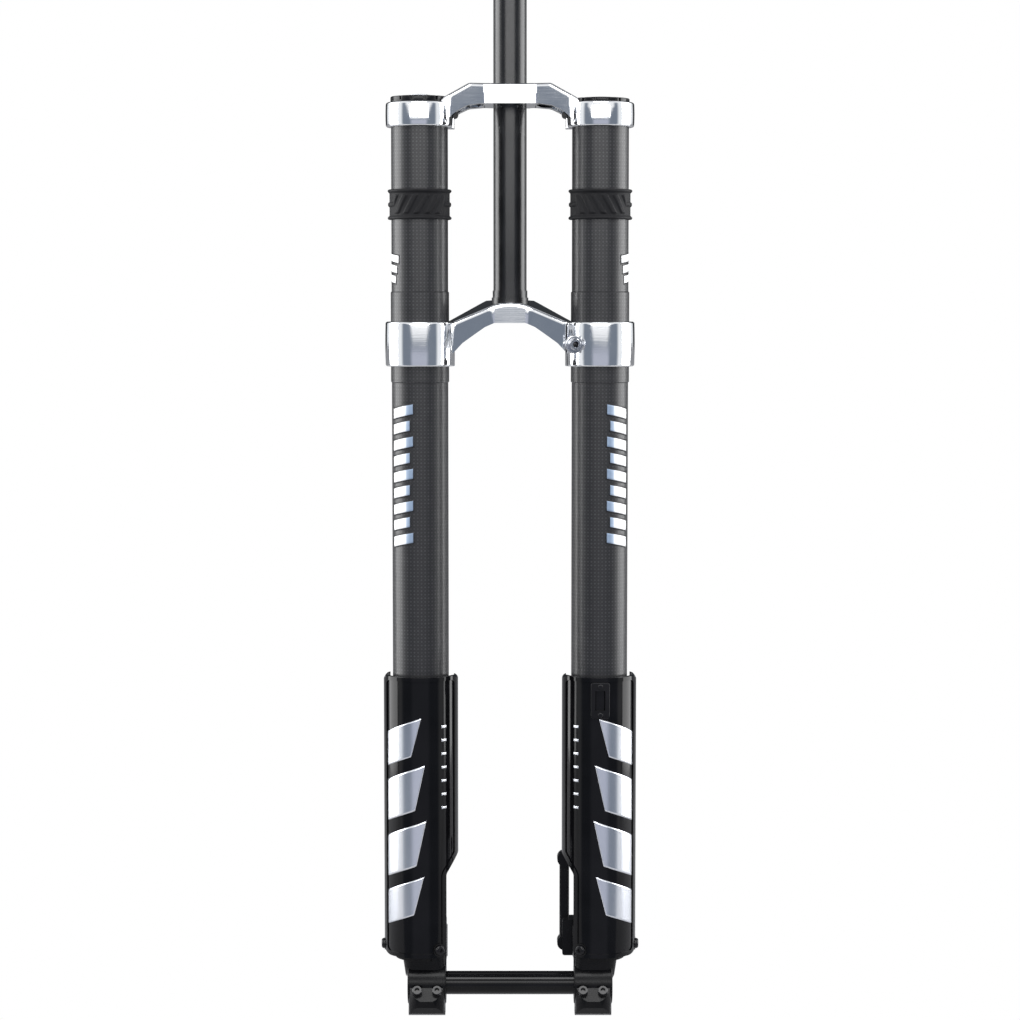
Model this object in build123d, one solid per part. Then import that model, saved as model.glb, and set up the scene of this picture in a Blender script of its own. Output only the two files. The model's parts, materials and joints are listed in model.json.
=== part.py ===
from build123d import *

import os
from math import cos, radians, sin, sqrt

# Suspension fork for a downhill bicycle: inverted legs between two crowns.
# Millimetres. +Z runs up the steering axis and the fork faces -Y. The origin lies on the steering axis
# at the crown race seat. Left and right are the rider's, so the left leg stands at +X.

# ---- driving dimensions -------------------------------------------------------------------------
LEG_X = 76.5  # half the distance between the two legs
LEG_Y = -40.0  # crown offset: how far the legs stand in front of the steering axis
AXLE_Z = -590.0
AXLE_LEAD = 8.0  # how far the axle stands in front of the legs
AXLE_Y = LEG_Y - AXLE_LEAD
AXLE_R = 10.0
HUB_HALF = 55.0  # half the 110 mm hub width

GAP = 0.02  # clearance between a shaft and the part that clamps it
RUN = 0.05  # radial clearance of a running fit

STEERER_R = 14.3
STEERER_BORE_R = 12.0
STEERER_TOP = 270.0
SEAT_R = 15.0
SEAT_H = 6.0
SHOULDER_R = 15.8  # shoulder the crown race rests on
SHOULDER_BOTTOM = -5.5
SHOULDER_ROOM = 0.3  # between the shoulder and the lower crown
STEM_GROOVE = 1.0  # width of the turned groove above the upper crown
STEM_GROOVE_DEPTH = 0.2

TUBE_R = 24.0
TUBE_BORE_R = 21.0
TUBE_TOP = 160.0
TUBE_BOTTOM = -330.0
SLEEVE_R = 24.75
SLEEVE_TOP = 5.0
SLEEVE_BOTTOM = -72.0

UPPER_TOP = 180.0
UPPER_CLAMP_TOP = 163.7
UPPER_CLAMP_BOTTOM = 143.1
UPPER_CLAMP_R = 28.6
LOWER_CLAMP_TOP = -20.4
LOWER_CLAMP_BOTTOM = -58.2
LOWER_CLAMP_R = 29.5
LOWER_ARCH_BOTTOM = -21.6

BUMPER_LOW = 65.6
BUMPER_HIGH = 90.9
BUMPER_R = 26.4
BEAD = 0.8  # how far the bumper's edge beads stand out
BEAD_HALF = 1.4

# Crown outlines, drawn for x >= 0. A plan is seen from above (x, y). A ridge and a soffit are the upper
# and lower edges seen from the front (x, z).
UPPER_PLAN = [
    (0, -46), (22, -46), (50, -56), (60, -56.5), (LEG_X, -56.5), (LEG_X, -11.5), (61, -16), (22, 14), (0, 22.5),
]
UPPER_RIDGE = [(0, UPPER_TOP), (34.5, UPPER_TOP), (60.5, 164.8), (66, UPPER_CLAMP_TOP)]
UPPER_SOFFIT = [
    (66, UPPER_CLAMP_BOTTOM), (56.5, 144.8), (51.9, 150), (43.5, 157), (35.3, 161.4), (22, 163.3), (0, 163.3),
]
LOWER_PLAN = [
    (0, -33), (16, -34), (47, -49.5), (60, -50), (LEG_X, -50), (LEG_X, -10.6), (60, -15), (24, 12), (0, 22.5),
]
LOWER_RIDGE = [(0, -4.3), (20.7, -4.6), (54.3, -19.7), (66, LOWER_CLAMP_TOP)]
LOWER_SOFFIT = [
    (66, LOWER_CLAMP_BOTTOM), (58.4, -57.2), (49.6, -48.4), (40.8, -38.9), (29.5, -30.8), (21.5, -25.2),
    (13.3, LOWER_ARCH_BOTTOM), (0, LOWER_ARCH_BOTTOM),
]
# The lower crown's front stands lower than its rear: (x, z) of the front's own ridge, and (x, y) where
# the rear part starts. The rear part's top rises to the rear.
LOWER_FRONT_RIDGE = [(0, 0.2), (52.3, -21.8), (66, -21.8)]
LOWER_APEX_R = 48.0  # rounding of that ridge's middle
LOWER_STEP = [(0, -26), (14, -27), (47, -43), (70, -43)]
LOWER_RISE = 0.14
POCKET_PLAN = [(25, -34.5), (43, -43), (46, -33), (45, -20), (27, -3), (24, -14), (22, -27)]
UPPER_ROOF = 4.5  # thickness left over a crown's pockets
LOWER_ROOF = 7.5
UPPER_BEND_R = 3.0  # rounding of the arms' bends seen from above
LOWER_BEND_R = 14.0
ARM_SWEEP_R = 6.0  # and seen from the front
ARM_END = 64.0  # bends lie nearer to the middle than this
DEPTH = 80.0  # reaches past the fork's front and rear
UPPER_BROW_R = 3.0  # rounding of a crown's upper front edge
LOWER_BROW_R = 3.6
CLAMP_SOFT = 1.8  # rounding of a clamp's rims
CLAMP_BULGE = 0.36  # how far a clamp narrows from its middle to its rims
CLAMP_EAR = [47.5, 62.0]  # x of the ear that holds a pinch bolt
CLAMP_EAR_H = 17.0
SLOT = 1.8  # width of a clamp's slot
SLOT_REACH = 38.0
PINCH_IN = 23.0  # pinch bolt head, measured inwards from the leg's axis
PINCH_OUT = 25.0  # and towards the front or the rear
PINCH_SKEW = 16.8  # how far the bolt leans off the fore and aft line, in degrees
PINCH_R = 3.0
PINCH_LENGTH = 24.0
PINCH_HEAD_R = 5.0
PINCH_HEAD_H = 6.0
HEAD_ROOM = 1.2  # space round a screw head in its counterbore
FRONT = -1
REAR = 1
UPPER_FACING = {"left": REAR, "right": REAR}  # which way each pinch bolt's head looks
LOWER_FACING = {"left": FRONT, "right": REAR}
SMALL_R = 2.5  # M5 bolts of the steerer clamp and the axle clamps
SMALL_HEAD_R = 4.2
SMALL_HEAD_H = 5.0
SMALL_KEY = 4.0
STEERER_BOLT_SEAT_X = 13.0
STEERER_BOLT_Y = 18.2
STEERER_BOLT_Z = [167.5, 175.5]
STEERER_BOLT_LENGTH = 22.0

STANCHION_R = 18.0
STANCHION_BORE_R = 16.0
STANCHION_TOP = -70.0
SOCKET_FLOOR = -562.0
DROPOUT_TOP = -540.0
NECK_R = 22.5
BOSS_R = 18.0
BOSS_OUTER = 88.0  # outer face of the axle boss
DROPOUT_BOTTOM = -617.5

GUARD_R = 31.0
GUARD_WALL = 2.3
GUARD_TOP = -321.5
GUARD_BOTTOM = -563.0
GUARD_RIM = 3.4
GUARD_RIM_H = 0.9

POST_SPACING = 74.2  # post mount hole spacing
POST_X = 47.5
POST_FACE_Y = -3.0
POST_UPPER_Z = -489.0
POST_HOLE_R = 2.6
POST_R = 6.2
POST_DEPTH = 14.0
STRUT_HALF = 4.2
STRUT_FRONT = 13.0  # the strut's front and rear, measured ahead of the post faces
STRUT_REAR = 5.0
WEB_X = 66.0
WEB_Y = -28.0
HUB_CLEAR_TOP = -575.0  # nothing crosses the hub's space below this height

ROD_R = 5.0
CARTRIDGE_R = 14.0
CARTRIDGE_BORE_R = 12.0
CARTRIDGE_TOP = -120.0
SEAL_HEAD_H = 12.0
PISTON_H = 14.0
TOPOUT_H = 12.0

CAP_R = 23.6
CAP_RIM_R = 24.4
CAP_ROOM = 0.4  # between a cap's rim and the crown's arm
CAP_NOTCHES = 14
CAP_NOTCH_W = 1.8
CAP_NOTCH_DEPTH = 1.5
CAP_NOTCH_H = 3.4
RIGHT_CAP_TOP = 168.6
LEFT_CAP_TOP = 167.0
CAP_PLUG_BOTTOM = TUBE_TOP - 16
DIAL_R = 13.2
DIAL_FLOOR = 164.0
KNOB_R = 7.4
COVER_FLOOR = 158.0
VALVE_R = 3.9
VALVE_TOP = 165.0
KNURLS = 24
ORING_GROOVE_R = 18.8
ORING_Z = 150.0

UPPER_BUSHING_Z = -130.0
LOWER_BUSHING_Z = -300.0
BUSHING_H = 25.0
PISTON_TOP = CARTRIDGE_TOP - SEAL_HEAD_H - 1 - TOPOUT_H
BASE_VALVE_Z = -540.0
FOOT_R = 6.0
FOOT_BOTTOM = -570.0

PAD_ROOT = 19.0  # the guard's pads grow out of the dropout from this radius
PAD_GAP = 0.7  # and stop this far short of the guard
GUARD_SCREW_R = 2.5
GUARD_SCREW_HEAD_R = 4.4
PINCH_TILT = 35.0  # how far the axle pinch bolts look upwards, in degrees
PINCH_X = [62.5, 79.5]
PINCH_SEAT = (-68.0, -593.0)  # (y, z) of a pinch bolt's head seat
AXLE_PINCH_LENGTH = 24.0
SLIT = 1.6  # width of the slit in the axle clamp
SLIT_REACH = 50.0
# Side elevation (y, z) of the split jaw below the axle.
NECK_BOTTOM = -568.0
SHOULDER_BLOCK = [HUB_HALF, HUB_HALF + 14, -54, -24, -575, -537]  # inner corner over the hub
COLUMN_HIGH = [-556.0, 74.5, -43.0, 39.0, 36.0, 12.0]  # z, x, y, width, depth and corner radius
COLUMN_LOW = [-594.0, (HUB_HALF + BOSS_OUTER) / 2, -45.0, 33.0, 26.0, 5.0]
BOSS_SOFT = 1.2
JAW_WIDTH = 31.4
JAW_Y = -51.5
JAW_DEPTH = 43.4
JAW_R = 13.0  # corners of the jaw seen from above
JAW_SIDE = [
    (-62, -583), (-63.5, -586.6), (-73, -600.2), (-72, -606), (-66, -612.5), (-56, -616.5),
    (-47, DROPOUT_BOTTOM), (-38, -615), (-32, -608), (-30, -596), (-31, -585), (AXLE_Y, -580),
]
GUARD_INNER = 100.0  # how far the guard wraps to the inside and outside, in degrees from the front
GUARD_OUTER = 112.0
GUARD_NOTCH_TOP = -475.3
GUARD_NOTCH_LOW = -491.7
GUARD_NOTCH_X = 22.1
GUARD_SCREW_Z = -556.6
GUARD_SCREW_TURNS = [30.4, -85.0]  # degrees from the front, towards the inside
GUARD_PAD_R = 5.6
GUARD_SEAT_R = GUARD_R + GUARD_RIM_H + 0.1  # radius where the guard's screw heads sit

AXLE_BORE_R = 7.0
AXLE_BOLT_HEAD_R = 12.4
AXLE_BOLT_HEAD_H = 3.4
AXLE_RIGHT_END = -(BOSS_OUTER - AXLE_BOLT_HEAD_H - 0.1)
AXLE_LEFT_END = BOSS_OUTER - 1.0

CLIP_HALF = 8.0
CLIP_LOW = -356.0
CLIP_HIGH = -325.0
CLIP_SCREW_Z = [CLIP_LOW + 3.4, CLIP_HIGH - 3.4]

SIDES = {"left": 1, "right": -1}
os.makedirs("parts", exist_ok=True)


# ---- small helpers ------------------------------------------------------------------------------
def save(shape, name):
    """Writes one sub-part to its own STEP file."""
    shape.label = name
    export_step(shape, f"parts/{name}.step")


def disc(r, low, high, x=0.0, y=0.0):
    """Upright cylinder from z = low to z = high."""
    return Pos(x, y, (low + high) / 2) * Cylinder(r, high - low)


def ring(r_out, r_in, low, high, x=0.0, y=0.0):
    """Upright ring from z = low to z = high."""
    return disc(r_out, low, high, x, y) - disc(r_in, low - 1, high + 1, x, y)


def on_leg(shape, side):
    """Moves a shape built about the Z axis to its leg."""
    return Pos(side * LEG_X, LEG_Y, 0) * shape


def block(x0, x1, y0, y1, z0, z1):
    """Box between two corners."""
    return Pos((x0 + x1) / 2, (y0 + y1) / 2, (z0 + z1) / 2) * Box(x1 - x0, y1 - y0, z1 - z0)


def plate(points, low, high):
    """Plan outline raised from z = low to z = high."""
    return extrude(Plane.XY.offset(low) * make_face(Polyline(*points, close=True)), high - low)


def front_prism(points, depth):
    """Front elevation (x, z) carried through the whole depth of the fork."""
    face = Plane.XZ * make_face(Polyline(*points, close=True))
    return extrude(face, depth, both=True)


def mirrored(points):
    """Closes a half outline drawn for x >= 0 by its mirror image."""
    return points + [(-x, v) for x, v in reversed(points) if x > 0]


def hex_socket(across, depth):
    """Hexagonal key hole that opens at z = 0 and goes down."""
    return extrude(RegularPolygon(across / 2, 6, major_radius=False), -depth)


def socket_screw(r, length, head_r, head_h, key):
    """Socket head screw: the head stands on z = 0 and the shank points down."""
    head = chamfer(disc(head_r, 0, head_h).edges().sort_by(Axis.Z)[-1], 0.12 * head_r)
    return head + disc(r, -length, 0.01) - Pos(0, 0, head_h) * hex_socket(key, 0.6 * head_h)


def button_screw(r, length, head_r, head_h, key):
    """Button head screw: the head stands on z = 0 and the shank points down."""
    head = fillet(disc(head_r, 0, head_h).edges().sort_by(Axis.Z)[-1], 0.75 * head_h)
    return head + disc(r, -length, 0.01) - Pos(0, 0, head_h) * hex_socket(key, 0.6 * head_h)


def aim(origin, direction):
    """Location whose +Z points along the given direction."""
    return Plane(origin=origin, z_dir=direction).location


# ---- upper structure: steerer, crowns, outer tubes ----------------------------------------------
def steerer_tube():
    """Tube with the crown race seat at its foot and a shallow groove above the upper crown."""
    body = disc(STEERER_R, LOWER_ARCH_BOTTOM, STEERER_TOP) + disc(SEAT_R, LOWER_ARCH_BOTTOM, SEAT_H)
    body += disc(SHOULDER_R, SHOULDER_BOTTOM, 0)
    body -= disc(STEERER_BORE_R, LOWER_ARCH_BOTTOM - 1, STEERER_TOP + 1)
    groove_low = UPPER_TOP + STEM_GROOVE / 2
    body -= ring(STEERER_R + 1, STEERER_R - STEM_GROOVE_DEPTH, groove_low, groove_low + STEM_GROOVE)
    rims = body.edges().filter_by(GeomType.CIRCLE).sort_by(Axis.Z)[-2:]
    return chamfer(rims, 0.6)


def outer_tube():
    sleeve = disc(SLEEVE_R, SLEEVE_BOTTOM, SLEEVE_TOP)
    sleeve = chamfer(sleeve.edges().filter_by(GeomType.CIRCLE), SLEEVE_R - TUBE_R - 0.05)
    body = disc(TUBE_R, TUBE_BOTTOM, TUBE_TOP) + sleeve
    return body - disc(TUBE_BORE_R, TUBE_BOTTOM - 1, TUBE_TOP + 1)


def bumper():
    """Rubber band round a leg, with a bead at each edge."""
    band = ring(BUMPER_R, TUBE_R + GAP, BUMPER_LOW, BUMPER_HIGH)
    bead = ring(BUMPER_R + BEAD, TUBE_R + GAP, -BEAD_HALF, BEAD_HALF)
    bead = fillet(bead.edges().filter_by(GeomType.CIRCLE).sort_by(SortBy.RADIUS)[-2:], 1.0)
    return band + Pos(0, 0, BUMPER_LOW + BEAD_HALF) * bead + Pos(0, 0, BUMPER_HIGH - BEAD_HALF) * bead


def bent_face(points, radius):
    """Face of a crown outline, with the bends of its arms rounded."""
    face = make_face(Polyline(*mirrored(points), close=True))
    return fillet([v for v in face.vertices() if 1 < abs(v.X) < ARM_END], radius)


def crown_bridge(plan, ridge, soffit, bend_r, apex_r=0):
    """The arms and centre of a crown: its plan outline cut to its front elevation."""
    low = min(z for _, z in soffit)
    high = max(z for _, z in ridge)
    seen_from_above = extrude(Plane.XY.offset(low) * bent_face(plan, bend_r), high - low)
    elevation = bent_face(ridge + soffit, ARM_SWEEP_R)
    if apex_r:
        elevation = fillet(elevation.vertices().sort_by(Axis.Y)[-1], apex_r)
    return seen_from_above & extrude(Plane.XZ * elevation, DEPTH, both=True)


def rising_top(ridge, rise):
    """Everything under a ridge whose height grows evenly towards the rear, and is as drawn at y = 0."""
    face = make_face(Polyline(*mirrored(ridge + [(ridge[-1][0], -DEPTH), (0, -DEPTH)]), close=True))
    rear = Plane(origin=(0, DEPTH, DEPTH * rise), x_dir=(1, 0, 0), z_dir=(0, -1, 0))
    return extrude(rear * face, 2 * DEPTH * sqrt(1 + rise * rise), dir=(0, -1, -rise))


def soften_brow(body, radius):
    """Rounds the edges where a crown's front faces meet its top."""
    front = []
    top = []
    for face in body.faces():
        normal = face.normal_at(face.center())
        if abs(normal.Z) < 0.05 and normal.Y < -0.3:
            front += face.edges()
        elif normal.Z > 0.3:
            top += face.edges()
    return fillet([edge for edge in front if any(edge.is_same(other) for other in top)], radius)


def arm_pocket(ridge, soffit, roof):
    """Space milled up into an arm from below, under a roof of even thickness."""
    low = min(z for _, z in soffit) - 1
    outline = [(x, z - roof) for x, z in ridge] + [(ridge[-1][0], low), (0, low)]
    return plate(POCKET_PLAN, low, ridge[0][1]) & front_prism(outline, DEPTH)


def clamp_boss(side, radius, low, high):
    """Outer body of a leg clamp: a forged ring, slightly barrelled, with soft rims."""
    edge = radius - CLAMP_BULGE
    wall = ThreePointArc((edge, low), (radius, (low + high) / 2), (edge, high))
    outline = wall + Polyline((edge, high), (0, high), (0, low), (edge, low))
    body = revolve(Plane.XZ * make_face(outline), Axis.Z)
    rims = body.edges().filter_by(GeomType.CIRCLE).sort_by(Axis.Z)
    return on_leg(fillet([rims[0], rims[-1]], CLAMP_SOFT), side)


def pinch_place(side, facing, z):
    """Location of a leg clamp's pinch bolt head; facing is -1 to the front and 1 to the rear."""
    head = Vector(side * (LEG_X - PINCH_IN), LEG_Y + facing * PINCH_OUT, z)
    lean = radians(PINCH_SKEW)
    return aim(head, Vector(side * sin(lean), facing * cos(lean), 0))


def leg_clamp(body, side, radius, bore, low, high, facing):
    """Adds one leg clamp to a crown, with its bore, ear, slot and pinch bolt hole."""
    ear = block(*CLAMP_EAR, LEG_Y, LEG_Y + PINCH_OUT, low, low + CLAMP_EAR_H)
    slot = block(0, SLOT_REACH, -SLOT / 2, SLOT / 2, low - 1, high + 1)
    slot_turn = 180 - facing * PINCH_SKEW if side > 0 else facing * PINCH_SKEW
    place = pinch_place(side, facing, (low + high) / 2)
    body += clamp_boss(side, radius, low, high)
    body += ear if side > 0 else mirror(ear, about=Plane.YZ)
    body -= on_leg(disc(bore, low - 2, high + 20), side)
    body -= on_leg(Rot(0, 0, slot_turn) * slot, side)
    body -= place * disc(PINCH_R + GAP, -PINCH_LENGTH - 3, 1)
    return body - place * disc(PINCH_HEAD_R + HEAD_ROOM, 0, 30)


def upper_crown():
    body = soften_brow(crown_bridge(UPPER_PLAN, UPPER_RIDGE, UPPER_SOFFIT, UPPER_BEND_R), UPPER_BROW_R)
    hollow = arm_pocket(UPPER_RIDGE, UPPER_SOFFIT, UPPER_ROOF)
    body -= hollow
    body -= mirror(hollow, about=Plane.YZ)
    for name, side in SIDES.items():
        body = leg_clamp(
            body, side, UPPER_CLAMP_R, TUBE_R + GAP, UPPER_CLAMP_BOTTOM, UPPER_CLAMP_TOP, UPPER_FACING[name]
        )
        body -= on_leg(disc(CAP_RIM_R + CAP_ROOM, UPPER_CLAMP_TOP, UPPER_TOP), side)
    body -= disc(STEERER_R + GAP, 100, 200)
    body -= block(-SLOT / 2, SLOT / 2, 0, 40, 100, 200)
    for z in STEERER_BOLT_Z:
        body -= steerer_bolt_place(z) * disc(SMALL_R + GAP, -STEERER_BOLT_LENGTH - 4, 1)
        body -= steerer_bolt_place(z) * disc(SMALL_HEAD_R + 0.6, 0, 30)
    return body


def lower_crown():
    ahead_of_step = LOWER_STEP + [(LOWER_STEP[-1][0], -DEPTH), (0, -DEPTH)]
    room = [(x, z + DEPTH * LOWER_RISE) for x, z in LOWER_RIDGE]
    body = crown_bridge(LOWER_PLAN, room, LOWER_SOFFIT, LOWER_BEND_R) & rising_top(LOWER_RIDGE, LOWER_RISE)
    body -= plate(mirrored(ahead_of_step), LOWER_CLAMP_BOTTOM - 1, 1)
    front = crown_bridge(LOWER_PLAN, LOWER_FRONT_RIDGE, LOWER_SOFFIT, LOWER_BEND_R, LOWER_APEX_R)
    body += soften_brow(front, LOWER_BROW_R)
    hollow = arm_pocket(LOWER_RIDGE, LOWER_SOFFIT, LOWER_ROOF)
    body -= hollow
    body -= mirror(hollow, about=Plane.YZ)
    body -= disc(SHOULDER_R + SHOULDER_ROOM, SHOULDER_BOTTOM - GAP, 10)
    for name, side in SIDES.items():
        body = leg_clamp(
            body, side, LOWER_CLAMP_R, SLEEVE_R + GAP, LOWER_CLAMP_BOTTOM, LOWER_CLAMP_TOP, LOWER_FACING[name]
        )
    return body - disc(SEAT_R + GAP, LOWER_ARCH_BOTTOM - 1, 10)


def pinch_bolts(z, facing):
    """One pinch bolt for each leg clamp of a crown."""
    bolt = socket_screw(PINCH_R, PINCH_LENGTH, PINCH_HEAD_R, PINCH_HEAD_H, 5)
    return Compound(children=[pinch_place(side, facing[name], z) * bolt for name, side in SIDES.items()])


def steerer_bolt_place(z):
    """The steerer clamp's bolts cross its slot behind the steerer."""
    return aim(Vector(STEERER_BOLT_SEAT_X, STEERER_BOLT_Y, z), Vector(1, 0, 0))


def steerer_clamp_bolts():
    bolt = socket_screw(SMALL_R, STEERER_BOLT_LENGTH, SMALL_HEAD_R, SMALL_HEAD_H, SMALL_KEY)
    return Compound(children=[steerer_bolt_place(z) * bolt for z in STEERER_BOLT_Z])


# ---- top caps and dials ---------------------------------------------------------------------------
def top_cap(top, recess_floor):
    """Threaded cap with a notched rim and a round recess for its dial or cover."""
    body = disc(TUBE_BORE_R - GAP, CAP_PLUG_BOTTOM, TUBE_TOP) + disc(CAP_R, TUBE_TOP, top)
    body += disc(CAP_RIM_R, UPPER_CLAMP_TOP + GAP, top)
    body = chamfer(body.edges().filter_by(GeomType.CIRCLE).sort_by(Axis.Z)[-1], 0.5)
    notch = Pos(CAP_RIM_R, 0, top) * Box(CAP_NOTCH_DEPTH * 2, CAP_NOTCH_W, CAP_NOTCH_H * 2)
    for i in range(CAP_NOTCHES):
        body -= Rot(0, 0, i * 360 / CAP_NOTCHES) * notch
    body -= disc(DIAL_R, recess_floor, top + 1)
    return body - ring(TUBE_BORE_R, ORING_GROOVE_R, ORING_Z - 1.3, ORING_Z + 1.3)


def cap_oring():
    middle = (ORING_GROOVE_R + TUBE_BORE_R) / 2
    return Pos(0, 0, ORING_Z) * Torus(middle, TUBE_BORE_R - middle - GAP)


def dial(r_out, r_in, low, high):
    """Knurled dial; a solid knob when it has no inner radius."""
    body = disc(r_out, low, high)
    body = chamfer(body.edges().filter_by(GeomType.CIRCLE).sort_by(Axis.Z)[-1], 0.4)
    groove = Pos(r_out, 0, high - 1) * Cylinder(0.55, 4)
    for i in range(KNURLS):
        body -= Rot(0, 0, i * 360 / KNURLS) * groove
    return body - disc(r_in, low - 1, high + 1) if r_in else body


def rebound_knob():
    body = dial(KNOB_R - RUN, 0, DIAL_FLOOR + RUN, RIGHT_CAP_TOP + 2.0)
    return body - Pos(0, 0, RIGHT_CAP_TOP + 2.0) * Box(9, 1.6, 1.8)


def compression_ring():
    return dial(DIAL_R - RUN, KNOB_R, DIAL_FLOOR + RUN, RIGHT_CAP_TOP + 1.1)


def valve_cover():
    body = dial(DIAL_R - RUN, 0, COVER_FLOOR + RUN, LEFT_CAP_TOP + 1.0)
    return body - disc(VALVE_R + 0.8, COVER_FLOOR - 1, VALVE_TOP + 0.8)


def air_valve():
    stem = disc(VALVE_R, COVER_FLOOR, VALVE_TOP)
    stem = chamfer(stem.edges().filter_by(GeomType.CIRCLE).sort_by(Axis.Z)[-1], 0.5)
    return stem - disc(2.6, VALVE_TOP - 2, VALVE_TOP + 1) + disc(1.0, VALVE_TOP - 2, VALVE_TOP - 0.4)


# ---- inside the legs ------------------------------------------------------------------------------
def bushing(low):
    return ring(TUBE_BORE_R - GAP, STANCHION_R + RUN, low, low + BUSHING_H)


def oil_seal():
    return ring(TUBE_BORE_R - GAP, STANCHION_R + RUN, TUBE_BOTTOM + 12, TUBE_BOTTOM + 22)


def seal_clip():
    gap = block(0, 30, -4, 4, TUBE_BOTTOM, TUBE_BOTTOM + 20)
    return ring(TUBE_BORE_R - GAP, STANCHION_R + 1.2, TUBE_BOTTOM + 9.2, TUBE_BOTTOM + 10.8) - gap


def wiper_seal():
    body = ring(TUBE_BORE_R - GAP, STANCHION_R + RUN, TUBE_BOTTOM, TUBE_BOTTOM + 8)
    lip = chamfer(disc(TUBE_R - 0.4, TUBE_BOTTOM - 4, TUBE_BOTTOM).edges().sort_by(Axis.Z)[0], 2.5)
    return body + lip - disc(STANCHION_R + RUN, TUBE_BOTTOM - 5, TUBE_BOTTOM + 9)


def stanchion():
    body = ring(STANCHION_R, STANCHION_BORE_R, SOCKET_FLOOR, STANCHION_TOP)
    return chamfer(body.edges().filter_by(GeomType.CIRCLE).sort_by(Axis.Z)[-2:], 0.6)


def rod():
    return disc(ROD_R, PISTON_TOP - PISTON_H - 2, CAP_PLUG_BOTTOM)


def piston(grooves):
    """Piston on the rod's lower end, with its ring grooves."""
    body = ring(CARTRIDGE_BORE_R - RUN, ROD_R + GAP, PISTON_TOP - PISTON_H, PISTON_TOP)
    for i in range(grooves):
        z = PISTON_TOP - PISTON_H * (i + 1) / (grooves + 1)
        body -= ring(CARTRIDGE_BORE_R, CARTRIDGE_BORE_R - 1.2, z - 0.8, z + 0.8)
    return body


def topout_bumper():
    return ring(9, ROD_R + GAP, PISTON_TOP, PISTON_TOP + TOPOUT_H)


def bottomout_bumper():
    body = ring(12, ROD_R + GAP, CAP_PLUG_BOTTOM - 38, CAP_PLUG_BOTTOM)
    for i in (1, 2, 3):
        body -= ring(13, 9.5, CAP_PLUG_BOTTOM - 9.5 * i - 1.5, CAP_PLUG_BOTTOM - 9.5 * i + 1.5)
    return body


def cartridge():
    """Inner tube that stands on the dropout's floor and holds the piston."""
    body = ring(CARTRIDGE_R, CARTRIDGE_BORE_R, SOCKET_FLOOR + 6, CARTRIDGE_TOP)
    body += disc(CARTRIDGE_R, SOCKET_FLOOR, SOCKET_FLOOR + 6)
    return body + disc(FOOT_R - GAP, FOOT_BOTTOM, SOCKET_FLOOR)


def seal_head():
    body = disc(CARTRIDGE_BORE_R - GAP, CARTRIDGE_TOP - SEAL_HEAD_H, CARTRIDGE_TOP)
    body += disc(CARTRIDGE_R, CARTRIDGE_TOP, CARTRIDGE_TOP + 4)
    return body - disc(ROD_R + RUN, CARTRIDGE_TOP - 20, CARTRIDGE_TOP + 5)


def base_valve():
    body = disc(CARTRIDGE_BORE_R - GAP, BASE_VALVE_Z, BASE_VALVE_Z + 12)
    port = Pos(7.5, 0, BASE_VALVE_Z + 6) * Cylinder(1.8, 14)
    for i in range(6):
        body -= Rot(0, 0, 60 * i) * port
    return body


# ---- dropouts, axle and guards --------------------------------------------------------------------
def pinch_aim(x):
    """Location of an axle pinch bolt's head seat on the left dropout."""
    tilt = radians(PINCH_TILT)
    return aim(Vector(x, *PINCH_SEAT), Vector(0, -cos(tilt), sin(tilt)))


def guard_screw_place(turn):
    """Location on the left leg's axis that looks out through a guard screw."""
    a = radians(turn)
    return aim(Vector(LEG_X, LEG_Y, GUARD_SCREW_Z), Vector(-sin(a), -cos(a), 0))


def rounded_section(z, x, y, width, depth, corner):
    """Level outline with rounded corners."""
    return Plane.XY.offset(z) * Pos(x, y) * RectangleRounded(width, depth, corner)


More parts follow.
